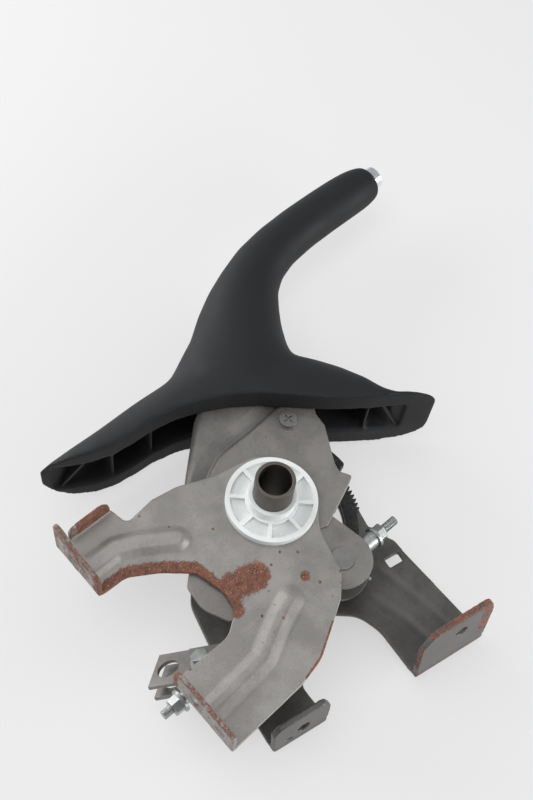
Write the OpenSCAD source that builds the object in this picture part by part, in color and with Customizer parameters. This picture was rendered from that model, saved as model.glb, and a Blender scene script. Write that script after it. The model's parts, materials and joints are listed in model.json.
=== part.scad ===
// Parking brake lever of a car, lying on its side.
// The pivot axis is Z, X runs forward and Y runs up as fitted.
// The origin is on the pivot axis, half way between the two lever cheeks.

/* [Pivot] */
// Outer diameter of the pivot tube
pivot_od = 25; // [20:0.5:32]
// Bore of the pivot tube
pivot_id = 20.5; // [14:0.5:26]
// Height of the pivot tube above the lever mid plane
pivot_top = 50; // [40:1:60]
// Depth of the pivot tube below the lever mid plane
pivot_bottom = 36; // [34:1:50]
// Running clearance of the bushes, on the radius
bush_gap = 0.05; // [0.02:0.01:0.1]
// Outer diameter of the bush sleeves
bush_od = 31; // [28:0.5:38]
// Flange diameter of the near bush
bush_flange = 58; // [44:1:66]

/* [Brackets] */
// Sheet thickness of the near bracket
near_sheet = 3; // [2:0.5:4]
// Underside of the near bracket above the mid plane
near_z = 15; // [15:0.5:18]
// Sheet thickness of the far bracket
far_sheet = 4; // [3:0.5:5]
// Upper face of the far bracket below the mid plane
far_z = 24; // [24:0.5:28]
// Outer face of the two rear feet, behind the pivot
rear_foot_x = 119; // [110:1:130]
// Height of the rear feet above the sheet
rear_foot_h = 24; // [18:1:32]
// Height of the front lower foot
front_foot_h = 52; // [40:1:56]
// Height of the middle lower foot
mid_foot_h = 31; // [24:1:36]
// Turn of the lower feet in the plane of the lever
foot_turn = 10; // [5:1:14]
// Inward lean of the lower feet
foot_lean = 7; // [0:1:12]
// Diameter of the round foot holes
foot_hole = 11; // [8:0.5:12]
// Diameter of the tube that ties the two brackets
tie_od = 14; // [10:1:18]

/* [Ratchet] */
// Tip radius of the ratchet teeth
tooth_r = 64; // [60:0.5:68]
// Angle from tooth to tooth
tooth_pitch = 2.9; // [2.5:0.1:4]
// Depth of a tooth
tooth_depth = 3; // [2:0.25:4]
// Number of ratchet teeth
tooth_count = 14; // [10:1:16]
// Gap of the riding pawl above the tooth tips
pawl_gap = 0.35; // [0.3:0.05:0.6]
// Diameter of the pawl pin
pawl_pin_d = 8; // [6:0.5:10]

/* [Lever] */
// Sheet thickness of the cheeks
cheek_sheet = 2; // [1.5:0.5:2]
// Half of the space between the cheeks
cheek_half = 12; // [11:0.5:12]
// Thickness of the trunnion arms
arm_sheet = 3; // [2:0.5:4]
// Radius of the arm ears
ear_r = 19; // [15:0.5:22]
// Outer diameter of the handle tube
tube_od = 24; // [20:0.5:24]
// Bore of the handle tube
tube_id = 20; // [16:0.5:20]
// Bend radius of the handle tube
tube_bend = 70; // [64:1:74]
// Bend angle of the handle tube
tube_turn = 56.5; // [50:0.5:60]
// Thread diameter of the cheek screw
screw_d = 6; // [5:0.5:8]

/* [Grip] */
// Width of the slot under the grip
slot_w = 29; // [28.6:0.2:32]
// Skin left over the slot
skin = 3; // [2.5:0.5:7]
// Thickness of the ribs across the slot
rib_t = 2; // [1.5:0.5:3]

/* [Release] */
// Diameter of the release button
button_d = 17; // [14:0.5:17]
// Diameter of the push rod
push_d = 5; // [4:0.5:6]
// Wire diameter of the return spring
spring_wire = 1.4; // [1:0.1:1.8]
// Turns of the return spring
spring_turns = 7; // [5:1:9]

/* [Cable] */
// Diameter of the trunnion
trunnion_d = 15; // [12:0.5:18]
// Thread diameter of the tension rod
rod_d = 6; // [5:0.5:8]
// Front end of the tension rod
rod_front = 59.5; // [50:0.5:70]
// Rear end of the tension rod, behind the pivot
rod_rear = 132; // [128:0.5:140]
// Width of the nuts across the flats
nut_af = 10; // [8:0.5:11]
// Roll of the cable yoke about the tension rod
yoke_roll = 41; // [30:1:45]
// Width of the yoke straps
strap_w = 27; // [22:0.5:28]
// Thickness of the yoke straps
strap_t = 2.5; // [2:0.5:3]
// Diameter of the cable pin hole
cable_hole = 14; // [10:0.5:15]

/* [Hidden] */
$fn = 64;
eps = 0.01;
near_top = near_z + near_sheet;
far_bot = far_z + far_sheet;
cheek_out = cheek_half + cheek_sheet;
arm_in = cheek_half - arm_sheet;
pivot_r = pivot_od / 2;
sector_t = 4;
sector_top = far_z - sector_t;
rear_x = -rear_foot_x;

// The bore and the button follow a tube that is slimmer than the drawn stock
tube_stock = 24;
slimmer = tube_stock - tube_od;
bore_r = (tube_id - slimmer) / 2;
button_r = (button_d - slimmer) / 2;

// Trunnion and tension rod
trunnion_at = [10.8, -55];
trunnion_r = trunnion_d / 2;
rod_y = trunnion_at[1];
rod_r = rod_d / 2;
front_nut_x = 40;
nut_t = 8;
nut_flange_t = 2.2;
nut_flange_r = 7.2;
block_x = [-106, -84];
end_nut_x = -117.5;

// Yoke: bolt and cable hole in the rolled plane of the yoke
bolt_at = [-94, 7];
bolt_r = 3;
hole_dir = 131.9;
hole_dist = 23.5;
block_half = 4.5;
strap_step = 1.6;
tab_len = 12;
strap_end = 10;

// Lever points
pawl_at = [58, 32];
pawl_top = 14.5;
pawl_plate = 5;
pawl_low = 23.6;
tie_at = [-47, -75];

// Handle tube path
tube_y = 157;
tube_front = 240;
bend_x = 152;
bend_c = [bend_x, tube_y - tube_bend];
low_start = bend_c + tube_bend * [-sin(tube_turn), cos(tube_turn)];
low_dir = [-cos(tube_turn), -sin(tube_turn)];
low_len = 64;
wire_r = 1.2;
eye_dist = (pawl_at - low_start) * low_dir;
tail_at = low_start + low_dir * eye_dist;
screw_drop = 119.7;
screw_at = [49, tube_y - screw_drop];

function unit(v) = v / norm(v);
function polar(r, a) = r * [cos(a), sin(a)];

// Outline with every corner rounded by its third value
function arc_pts(c, p, q, n) =
    let (a = atan2(p[1] - c[1], p[0] - c[0]),
         b = atan2(q[1] - c[1], q[0] - c[0]),
         d = b - a,
         s = d > 180 ? d - 360 : d < -180 ? d + 360 : d,
         r = norm(p - c))
    [for (i = [0:n]) c + polar(r, a + s * i / n)];
arc_steps = 7;
function corner(a, b, c, r) =
    let (u = unit(a - b),
         v = unit(c - b),
         h = acos(u * v) / 2,
         m = b + unit(u + v) * r / sin(h))
    arc_pts(m, b + u * r / tan(h), b + v * r / tan(h), arc_steps);
function xy(p) = [p[0], p[1]];
function soft(p) =
    let (n = len(p))
    [for (i = [0:n - 1])
        each p[i][2] > 0
            ? corner(xy(p[(i + n - 1) % n]), xy(p[i]), xy(p[(i + 1) % n]), p[i][2])
            : [xy(p[i])]];

module sheet(z, t, pts) {
    translate([0, 0, z]) linear_extrude(t) polygon(pts);
}

module pin(at, r, z0, z1) {
    translate([at[0], at[1], z0]) cylinder(r = r, h = z1 - z0);
}

module along_x(x0, x1, r, y = 0, z = 0) {
    translate([x0, y, z]) rotate([0, 90, 0]) cylinder(r = r, h = x1 - x0);
}

// Plate standing on the sheet, drawn as width and height
foot_set = 0.6;
module foot_plate(at, t, pts) {
    foot_frame(at) translate([0, foot_set, -t]) linear_extrude(t) polygon(pts);
}

// Foot holes, as width and height on their foot
foot_a_hole_at = [41, 31];
foot_b_hole_at = [-69, 30];
foot_b_slot_at = [-92, 27];
foot_b_slot = [8, 5];
foot_c_at = [5.5, -133.6];
foot_c_len = 52.8;
foot_c_hole_at = [30, 34];
foot_d_at = [-92, -109.7];
foot_d_len = 38.6;
foot_d_hole_at = [21, 14];
foot_d_slot_at = [8, 7];
foot_d_slot = [5, 3];
lower_hole = 8.5;
foot_line = [cos(foot_turn), -sin(foot_turn)];
foot_c_end = foot_c_at + foot_c_len * foot_line;
foot_d_end = foot_d_at + foot_d_len * foot_line;

// Oblong hole in the plate of the far bracket
plate_slot_at = [50, -70];
plate_slot = [11, 6.5];

// Outlines, as point and corner radius
near_outline = [
    [rear_x, 20, 0], [-99, 19.5, 12], [-82, 9, 30], [-66, -5, 12], [-61, -25, 14],
    [-63, -38, 10], [-77, -47.5, 12], [rear_x, -47.5, 0], [rear_x, -99, 0], [-64, -97, 20],
    [-44, -93, 30], [-10, -74, 24], [2, -62, 12], [11, -32, 30], [31, -10, 20], [31, 14, 18],
    [14, 31, 18], [-14, 36, 20], [-38, 46, 24], [-56, 49, 16], [-77, 46.5, 4], [-79.5, 62, 5],
    [rear_x, 62, 0]];
foot_a_outline = [
    [20, near_z, 0], [62, near_z, 0], [62, near_top + rear_foot_h + 10, 5],
    [52, near_top + rear_foot_h + 8, 6], [42, near_top + rear_foot_h, 12],
    [20, near_top + rear_foot_h, 5]];
foot_b_outline = [
    [-99, near_z, 0], [-47.5, near_z, 0], [-47.5, near_top + rear_foot_h, 9],
    [-99, near_top + rear_foot_h, 6]];
lip_outline = [
    [-110, near_z, 0], [-80, near_z, 0], [-80, near_top + 6, 3], [-84.5, near_top + 12, 6],
    [-110, near_top + 11, 6]];
far_outline = [
    [58.5, 13, 4], [61, -14, 60], [57.5, -28, 20], [53, -44, 12], [60, -61, 8], [59, -70, 10],
    concat(foot_c_end, 0), concat(foot_c_at, 0), [9.5, -98, 30], [6, -82, 20], [-7, -70, 12],
    [-24, -69, 20],
    [-44, -84, 12], [-52.5, -92, 10], concat(foot_d_end, 0), concat(foot_d_at, 0), [-84, -62, 20],
    [-79, -36, 20], [-71, -8, 20], [-50, 16, 20], [-20, 33, 20], [10, 35, 16], [34, 22, 12]];
foot_c_outline = [
    [0, 0, 0], [foot_c_len, 0, 0], [foot_c_len + 1.2, front_foot_h - 12, 4],
    [foot_c_len - 1.8, front_foot_h, 6],
    [9, front_foot_h, 8], [0, front_foot_h - 12, 10]];
foot_d_outline = [
    [0, 0, 0], [foot_d_len, 0, 0], [foot_d_len + 1.5, mid_foot_h - 9, 4],
    [foot_d_len - 2.5, mid_foot_h, 4], [4, mid_foot_h, 6],
    [0, mid_foot_h - 6, 4]];
cheek_outline = [
    [66, 20, 8], [67, 30, 10], [82, 50, 12], [84, 64, 14], [68, 83, 16], [47, 94, 18], [26, 93.5, 14],
    [2, 76.5, 8], [-36, 42, 14], [-62, 4, 14], [-75, -8, 5], [-77, -24, 20], [-68, -44, 8],
    [-46, -40, 14], [-22, -34, 14], [2, -27, 10], [18, -33.5, 2], [54.5, -18.5, 2], [50, -11, 4],
    [52, -4, 8]];
// The far cheek is the same down to its rear edge and smaller below
far_cheek_outline = concat(
    [for (i = [0:8]) cheek_outline[i]],
    [[-57, 8, 14], [-60, -10, 14], [-50, -26, 14], [-24, -33, 14], [2, -34, 12], [24, -25, 8],
        [47, -13, 4], [49, -8, 4], [52, -4, 8]]);

// Strip just inside an outline's edge, short of its two ends
fold_inset = 0.05;
function edge_strip(a, b, t, from, to) =
    let (u = unit(b - a),
         n = [-u[1], u[0]],
         p = a + u * from + n * fold_inset,
         q = b - u * to + n * fold_inset)
    [p, q, q + n * t, p + n * t];
wall_strip = edge_strip(xy(cheek_outline[7]), xy(cheek_outline[8]), cheek_sheet, 1, 2.5);
side_lip_strip = edge_strip(xy(cheek_outline[16]), xy(cheek_outline[17]), cheek_sheet, 13, 3);
side_lip_z = 5;

// Grip stem: place, height from the tube's middle line, half width in the plane, half width across
stem_low = [
    [243.5, -1, 10.5, 10.5], [241, -1, 13.2, 13.2], [236, -0.7, 15, 15], [228, -0.2, 16.2, 16.1],
    [214, 0.2, 16.8, 16.5], [194, 0.2, 17, 16.6], [170, -0.4, 17.3, 16.6], [146, -2.7, 18, 16.8],
    [126, -7.5, 19.6, 17.2], [109, -15.5, 22, 18.6], [94.3, -25.7, 26.1, 21.8],
    [80.8, -37, 29.8, 25.6], [68, -50.6, 34, 29.4], [54.4, -65.7, 42.6, 32.6],
    [40.5, -81.4, 52, 34.5]];
stem = [for (s = stem_low) [s[0], s[1] + tube_y, s[2], s[3]]];
// Grip skirt: rim point, half width across, height above the rim
skirt = [
    [-95.5, 111, 9, 3.6], [-89.5, 106.5, 19.5, skin + 3.3], [-80, 100, 26, skin + 11.2],
    [-67, 93.3, 29, 20.9], [-54, 89, 30, 24.4], [-40, 87.3, 30, 26.1], [-24, 86.5, 31, 27.2],
    [-8, 83.5, 32, 31], [8, 77.5, 33, 37.5], [24, 69, 34, 45], [40, 57.5, 34.6, 49],
    [55, 43.7, 34, 48], [70, 30, 32.6, 43.9], [84, 18.5, 31.4, 37.9], [97, 9, 32.2, 27.6],
    [105, 3.8, 32.6, skin + 12], [111, 0, 32.4, skin + 4.4], [117, -3.8, 31.8, skin + 3.2],
    [122.5, -7.5, 30.2, 5], [127.5, -10.9, 27.6, 4.4], [131, -13.2, 24.5, 4],
    [133.5, -14.8, 20.5, 3.6], [135, -15.7, 17, 3]];
slot_first = 1;
slot_last = 17;
rib_stations = [4, 6, 14];
rim_drop = 4;
slot_past = 1.3;
stem_sides = 28;
arch_sides = 20;

function stem_tangent(i) =
    let (a = stem[max(0, i - 1)], b = stem[min(len(stem) - 1, i + 1)])
    unit(xy(b) - xy(a));
function stem_ring(i) =
    let (t = stem_tangent(i), s = stem[i], m = [-t[1], t[0]])
    [for (k = [0:stem_sides - 1])
        let (a = 360 * k / stem_sides, p = xy(s) + m * s[2] * cos(a))
        [p[0], p[1], s[3] * sin(a)]];
function rim_normal(i) =
    let (a = skirt[max(0, i - 1)], b = skirt[min(len(skirt) - 1, i + 1)], t = unit(xy(b) - xy(a)))
    [-t[1], t[0]];
function skirt_ring(i) =
    let (s = skirt[i], m = rim_normal(i))
    [for (k = [0:arch_sides])
        let (a = 180 * k / arch_sides, p = xy(s) + m * s[3] * sin(a))
        [p[0], p[1], -s[2] * cos(a)]];
// Depth of the slot, with the skin measured over its corners
function slot_depth(i) = skirt[i][3] * sqrt(1 - pow(slot_w / 2 / skirt[i][2], 2)) - skin;
function rim_in(i, d) = xy(skirt[i]) + rim_normal(i) * d;
function rim_past(i, d, e) = let (m = rim_normal(i)) rim_in(i, d) + e * [m[1], -m[0]];

// Bore of the grip, from the button down to the cheeks: centre, turn and radius
bore_fit = tube_od / 2 + 0.5;
button_fit = button_r + 0.7;
bend_steps = 8;
bore_path = concat(
    [[tube_front + 20, tube_y, 0, button_fit], [tube_front + 0.5, tube_y, 0, button_fit],
        [tube_front + 0.4, tube_y, 0, bore_fit]],
    [for (i = [0:bend_steps])
        let (a = tube_turn * i / bend_steps, p = bend_c + tube_bend * [-sin(a), cos(a)])
        [p[0], p[1], a, bore_fit]],
    [concat(low_start + low_dir * low_len, [tube_turn, bore_fit])]);
function bore_ring(s) =
    [for (k = [0:stem_sides - 1])
        let (b = 360 * k / stem_sides, m = s[3] * cos(b))
        [s[0] + m * sin(s[2]), s[1] - m * cos(s[2]), s[3] * sin(b)]];

module loft(rings) {
    n = len(rings[0]);
    m = len(rings);
    points = [for (r = rings) each r];
    sides = [for (i = [0:m - 2], k = [0:n - 1])
        each [[i * n + k, (i + 1) * n + k, i * n + (k + 1) % n],
            [i * n + (k + 1) % n, (i + 1) * n + k, (i + 1) * n + (k + 1) % n]]];
    front = [[for (k = [0:n - 1]) k]];
    back = [[for (k = [0:n - 1]) m * n - 1 - k]];
    polyhedron(points, concat(sides, front, back), convexity = 6);
}

module upper_path(r, front) {
    along_x(bend_x, front, r, tube_y);
    translate([bend_c[0], bend_c[1], 0]) rotate([0, 0, 90])
        rotate_extrude(angle = tube_turn) translate([tube_bend, 0]) circle(r);
}

module lower_path(r, from, to) {
    translate([low_start[0], low_start[1], 0]) rotate([0, 0, 180 + tube_turn])
        rotate([0, 90, 0]) translate([0, 0, from]) cylinder(r = r, h = to - from);
}

// Hexagon nut on the tension rod, flange towards the start
module flange_nut(x, dir) {
    translate([x, rod_y, 0]) rotate([0, dir * 90, 0]) difference() {
        union() {
            cylinder(r = nut_flange_r, h = nut_flange_t);
            cylinder(d = nut_af / cos(30), h = nut_t, $fn = 6);
        }
        translate([0, 0, -1]) cylinder(r = rod_r, h = nut_t + 2);
    }
}

module rolled() {
    translate([0, rod_y, 0]) rotate([-yoke_roll, 0, 0]) children();
}

module near_bracket() {
    color([0.56, 0.55, 0.53]) difference() {
        union() {
            sheet(near_z, near_sheet, soft(near_outline));
            translate([rear_x, 0, 0]) rotate([90, 0, 90]) {
                linear_extrude(near_sheet) polygon(soft(foot_a_outline));
                linear_extrude(near_sheet) polygon(soft(foot_b_outline));
            }
            translate([0, 62, 0]) rotate([90, 0, 0])
                linear_extrude(near_sheet) polygon(soft(lip_outline));
        }
        translate([0, 0, near_z - 1]) cylinder(d = bush_od, h = near_sheet + 2);
        rear_hole(foot_a_hole_at);
        rear_hole(foot_b_hole_at);
        translate([rear_x - 1, foot_b_slot_at[0], foot_b_slot_at[1]])
            cube([near_sheet + 2, foot_b_slot[0], foot_b_slot[1]]);
    }
}

module rear_hole(at) {
    translate([rear_x - 1, at[0], at[1]]) rotate([0, 90, 0])
        cylinder(d = foot_hole, h = near_sheet + 2);
}

module far_bracket() {
    color([0.36, 0.35, 0.35]) difference() {
        union() {
            sheet(-far_bot, far_sheet, soft(far_outline));
            foot_plate(foot_c_at, far_sheet, soft(foot_c_outline));
            foot_plate(foot_d_at, far_sheet, soft(foot_d_outline));
        }
        translate([0, 0, -far_bot - 1]) cylinder(d = bush_od, h = far_sheet + 2);
        window();
        translate([plate_slot_at[0], plate_slot_at[1], -far_bot - 1]) rotate([0, 0, -foot_turn])
            translate([-plate_slot[0] / 2, -plate_slot[1] / 2, 0])
                cube([plate_slot[0], plate_slot[1], far_sheet + 2]);
        lower_foot_hole(foot_c_at, foot_c_hole_at);
        lower_foot_hole(foot_d_at, foot_d_hole_at);
        foot_frame(foot_d_at) translate([foot_d_slot_at[0], foot_d_slot_at[1], -far_sheet - 1])
            cube([foot_d_slot[0], foot_d_slot[1], far_sheet + 2]);
        rivet_bores(-far_bot - 1, 1 - far_z);
    }
}

module lower_foot_hole(foot_at, at) {
    foot_frame(foot_at) translate([at[0], at[1], -far_sheet - 1])
        cylinder(d = lower_hole, h = far_sheet + 2);
}

module foot_frame(at) {
    translate([at[0], at[1], -far_bot]) rotate([0, 0, -foot_turn]) rotate([90 - foot_lean, 0, 0]) children();
}

// Window between the hub and the toothed rim
window_in = 35.5;
sector_in = tooth_r - 11.5;
window_out = sector_in - 0.5;
sector_from = -48;
sector_to = 12;
window_to = 4;
arc_turn = 4;
module window() {
    inner = [for (a = [window_to:-arc_turn:sector_from]) polar(window_in, a)];
    outer = [for (a = [sector_from:arc_turn:window_to]) polar(window_out, a)];
    sheet(-far_bot - 1, far_sheet + 2, concat(inner, outer));
}

rivet_r = 2.5;
rivet_ring = tooth_r - 7.2;
rivet_upper = polar(rivet_ring, 8);
rivet_lower = polar(rivet_ring, -44);
module rivet_bores(z0, z1) {
    pin(rivet_upper, rivet_r, z0, z1);
    pin(rivet_lower, rivet_r, z0, z1);
}

// Each tooth: root, then a short flat tip
tooth_tip_from = 0.35;
tooth_tip_to = 1.1;
module ratchet_sector() {
    first = sector_to - 1;
    root = tooth_r - tooth_depth;
    teeth = [for (i = [0:tooth_count - 1])
        let (a = first - i * tooth_pitch)
        each [polar(root, a), polar(tooth_r, a - tooth_tip_from), polar(tooth_r, a - tooth_tip_to)]];
    last = first - tooth_count * tooth_pitch;
    tail = [for (a = [last:-arc_turn:sector_from]) polar(root, a)];
    rim = [for (a = [sector_from:arc_turn:sector_to]) polar(sector_in, a)];
    color([0.2, 0.2, 0.2]) difference() {
        sheet(-far_z, sector_t, concat([polar(root, sector_to)], teeth, tail, rim));
        rivet_bores(-far_z - 1, 1 - sector_top);
    }
}

module sector_rivet(at) {
    color([0.42, 0.42, 0.42]) {
        pin(at, rivet_r, -far_bot, -sector_top);
        pin(at, rivet_r + 2, -far_bot - 1.8, -far_bot);
    }
}
module sector_rivet_upper() sector_rivet(rivet_upper);
module sector_rivet_lower() sector_rivet(rivet_lower);

tie_wall = 2.5;
module bracket_tie() {
    color([0.4, 0.4, 0.4]) difference() {
        pin(tie_at, tie_od / 2, -far_z, near_z);
        pin(tie_at, tie_od / 2 - tie_wall, -far_z - 1, near_z + 1);
    }
}

rim_t = 5;
pocket_depth = 2.6;
collar_wall = 2.7;
collar_rise = 8;
pocket_in = pivot_r + 4.2;
pocket_out = bush_flange / 2 - 3;
bush_rib = 2.4;
rib_count = 8;
cut_h = 20;
module near_bush() {
    color([0.93, 0.94, 0.93]) difference() {
        union() {
            translate([0, 0, near_top]) cylinder(d = bush_flange, h = rim_t);
            translate([0, 0, near_z]) cylinder(d = bush_od, h = near_sheet + eps);
            translate([0, 0, near_top]) cylinder(r = pivot_r + collar_wall, h = rim_t + collar_rise);
        }
        translate([0, 0, near_z - 1]) cylinder(r = pivot_r + bush_gap, h = cut_h);
        translate([0, 0, near_top + rim_t - pocket_depth]) difference() {
            cylinder(r = pocket_out, h = cut_h);
            translate([0, 0, -1]) cylinder(r = pocket_in, h = cut_h + 2);
            for (i = [0:rib_count - 1])
                rotate([0, 0, i * 360 / rib_count])
                    translate([0, -bush_rib / 2, -1]) cube([bush_flange, bush_rib, cut_h + 2]);
        }
    }
}

far_flange = bush_flange - 16;
module far_bush() {
    color([0.93, 0.94, 0.93]) difference() {
        union() {
            translate([0, 0, -far_bot - rim_t]) cylinder(d = far_flange, h = rim_t);
            translate([0, 0, -far_bot - eps]) cylinder(d = bush_od, h = far_sheet + eps);
        }
        translate([0, 0, -far_bot - rim_t - 1]) cylinder(r = pivot_r + bush_gap, h = cut_h);
    }
}

module cheek_plate(z, outline) {
    difference() {
        sheet(z, cheek_sheet, soft(outline));
        pin([0, 0], pivot_r, z - 1, z + cheek_sheet + 1);
    }
}

screw_gap = 0.2;
module near_cheek() {
    color([0.58, 0.57, 0.55]) {
        difference() {
            cheek_plate(cheek_half, cheek_outline);
            pin(screw_at, screw_d / 2 + screw_gap, cheek_half - 1, cheek_out + 1);
        }
        sheet(0, cheek_half + cheek_sheet / 2, wall_strip);
        sheet(side_lip_z, cheek_half + cheek_sheet / 2 - side_lip_z, side_lip_strip);
    }
}

// Room in the far cheek for the swing of the pawl's tail pin
tail_room = 6;
tail_shift = [-1, -2.2];
module far_cheek() {
    color([0.5, 0.49, 0.48]) difference() {
        union() {
            cheek_plate(-cheek_out, far_cheek_outline);
            sheet(-cheek_half - cheek_sheet / 2, cheek_half + cheek_sheet / 2, wall_strip);
        }
        pin(pawl_at, pawl_pin_d / 2, -cheek_out - 1, -cheek_half + 1);
        pin(tail_at + tail_shift, tail_room, -cheek_out - 1, -cheek_half + 1);
    }
}

hub_r = 20;
arm_steps = 16;
arm_outline = let (d = trunnion_at, a = atan2(d[1], d[0]), s = asin((hub_r - ear_r) / norm(d)))
    concat([for (i = [0:arm_steps]) polar(hub_r, a + 90 - s + i * 180 / arm_steps)],
        [for (i = [0:arm_steps]) d + polar(ear_r, a - 90 - s + i * 180 / arm_steps)]);
module arm(z) {
    difference() {
        sheet(z, arm_sheet, arm_outline);
        pin([0, 0], pivot_r, z - 1, z + arm_sheet + 1);
        pin(trunnion_at, trunnion_r + bush_gap, z - 1, z + arm_sheet + 1);
    }
}
module near_arm() color([0.55, 0.54, 0.52]) arm(arm_in);
module far_arm() color([0.45, 0.44, 0.43]) arm(-cheek_half);

module pivot_tube() {
    color([0.45, 0.42, 0.4]) difference() {
        translate([0, 0, -pivot_bottom]) cylinder(r = pivot_r, h = pivot_bottom + pivot_top);
        translate([0, 0, -pivot_bottom - 1]) cylinder(d = pivot_id, h = pivot_bottom + pivot_top + 2);
    }
}

module handle_tube() {
    color([0.5, 0.5, 0.5]) difference() {
        upper_path(tube_od / 2, tube_front);
        upper_path(bore_r, tube_front + 1);
    }
}

module stem_tube() {
    color([0.5, 0.5, 0.5]) difference() {
        lower_path(tube_od / 2, 0, low_len);
        lower_path(bore_r, -1, low_len + 1);
    }
}

module grip() {
    hollow = concat(
        [rim_past(slot_first, -rim_drop, -slot_past)],
        [for (i = [slot_first + 1:slot_last - 1]) rim_in(i, -rim_drop)],
        [rim_past(slot_last, -rim_drop, slot_past)],
        [rim_past(slot_last, slot_depth(slot_last), slot_past)],
        [for (i = [slot_last - 1:-1:slot_first + 1]) rim_in(i, slot_depth(i))],
        [rim_past(slot_first, slot_depth(slot_first), -slot_past)]);
    color([0.2, 0.21, 0.22]) {
        difference() {
            union() {
                loft([for (i = [0:len(stem) - 1]) stem_ring(i)]);
                loft([for (i = [0:len(skirt) - 1]) skirt_ring(i)]);
            }
            translate([0, 0, -slot_w / 2]) linear_extrude(slot_w) polygon(hollow);
            loft([for (s = bore_path) bore_ring(s)]);
        }
        for (i = rib_stations)
            rib(i);
    }
}

// Rib across the slot at a rim station
rib_rise = 1.5;
module rib(i) {
    m = rim_normal(i);
    translate([skirt[i][0], skirt[i][1], -slot_w / 2 - eps])
        rotate([0, 0, atan2(m[1], m[0])])
            translate([rib_rise, -rib_t / 2, 0])
                cube([slot_depth(i) + 1 - rib_rise, rib_t, slot_w + 2 * eps]);
}

head_t = 3.4;
washer_t = 0.7;
cross_len = 6.8;
cross_w = 1.4;
cross_depth = 1.4;
screw_end = -2;
module cheek_screw() {
    color([0.75, 0.77, 0.75]) difference() {
        union() {
            pin(screw_at, screw_d / 2, screw_end, cheek_out + eps);
            pin(screw_at, screw_d + washer_t, cheek_out, cheek_out + washer_t);
            pin(screw_at, screw_d, cheek_out, cheek_out + head_t);
        }
        translate([screw_at[0], screw_at[1], cheek_out + head_t - cross_depth]) {
            translate([-cross_len / 2, -cross_w / 2, 0]) cube([cross_len, cross_w, cross_depth + 1]);
            translate([-cross_w / 2, -cross_len / 2, 0]) cube([cross_w, cross_len, cross_depth + 1]);
        }
    }
}
sleeve_wall = 1.8;
module cheek_sleeve() {
    color([0.5, 0.5, 0.5]) difference() {
        pin(screw_at, screw_d / 2 + sleeve_wall, -cheek_half, cheek_half);
        pin(screw_at, screw_d / 2, screw_end - 2, cheek_half + 1);
    }
}

pawl_bot = pawl_top + pawl_plate;
pin_head = 0.8;
pin_head_t = 2;
pin_ring_t = 1.2;
pin_inset = 0.3;
module pawl_pin() {
    pin_end = -pawl_bot + pin_inset;
    color([0.6, 0.6, 0.6]) {
        pin(pawl_at, pawl_pin_d / 2, pin_end, -cheek_half + eps);
        pin(pawl_at, pawl_pin_d / 2 + pin_head, -cheek_half, -cheek_half + pin_head_t);
        pin(pawl_at, pawl_pin_d / 2 + pin_head, pin_end, pin_end + pin_ring_t);
    }
}

ferrule_len = 14;
module button_ferrule() {
    color([0.7, 0.7, 0.7]) difference() {
        along_x(tube_front - ferrule_len, tube_front, bore_r, tube_y);
        along_x(tube_front - ferrule_len - 1, tube_front + 1, button_r + bush_gap, tube_y);
    }
}

seat_x = 194;
seat_t = 4;
push_gap = 0.3;
module spring_seat() {
    color([0.6, 0.6, 0.6]) difference() {
        along_x(seat_x, seat_x + seat_t, bore_r, tube_y);
        along_x(seat_x - 1, seat_x + seat_t + 1, push_d / 2 + push_gap, tube_y);
    }
}

button_in = 226;
button_out = 250;
button_dome = 2;
module release_button() {
    color([0.85, 0.86, 0.87]) {
        along_x(button_in, button_out, button_r, tube_y);
        translate([button_out - eps, tube_y, 0]) rotate([0, 90, 0])
            cylinder(r1 = button_r, r2 = button_r - button_dome, h = button_dome);
    }
}

rod_back = 159;
module push_rod() {
    color([0.6, 0.6, 0.6]) along_x(rod_back, button_in, push_d / 2, tube_y);
}

module release_wire() {
    color([0.5, 0.5, 0.5]) upper_path(wire_r, rod_back);
}

tail_pin_r = 2;
eye_r = 4;
eye_half = 2;
eye_gap = 0.3;
module wire_tail() {
    color([0.5, 0.5, 0.5]) difference() {
        union() {
            lower_path(wire_r, 0, eye_dist - eye_r + 1);
            pin(tail_at, eye_r, -eye_half, eye_half);
        }
        pin(tail_at, tail_pin_r + eye_gap, -eye_half - 1, eye_half + 1);
    }
}

// Coil drawn as a swept ring of short sides
module return_spring() {
    steps = 20;
    sides = 8;
    coil_r = 6;
    x0 = seat_x + seat_t + spring_wire / 2 + 0.1;
    x1 = button_in - spring_wire / 2 - 0.1;
    count = spring_turns * steps;
    rings = [for (i = [0:count])
        let (a = 360 * i / steps, x = x0 + (x1 - x0) * i / count)
        [for (k = [0:sides - 1])
            let (b = 360 * k / sides, r = coil_r + spring_wire / 2 * cos(b))
            [x - spring_wire / 2 * sin(b), tube_y + r * cos(a), r * sin(a)]]];
    color([0.55, 0.55, 0.55]) loft(rings);
}

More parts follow.
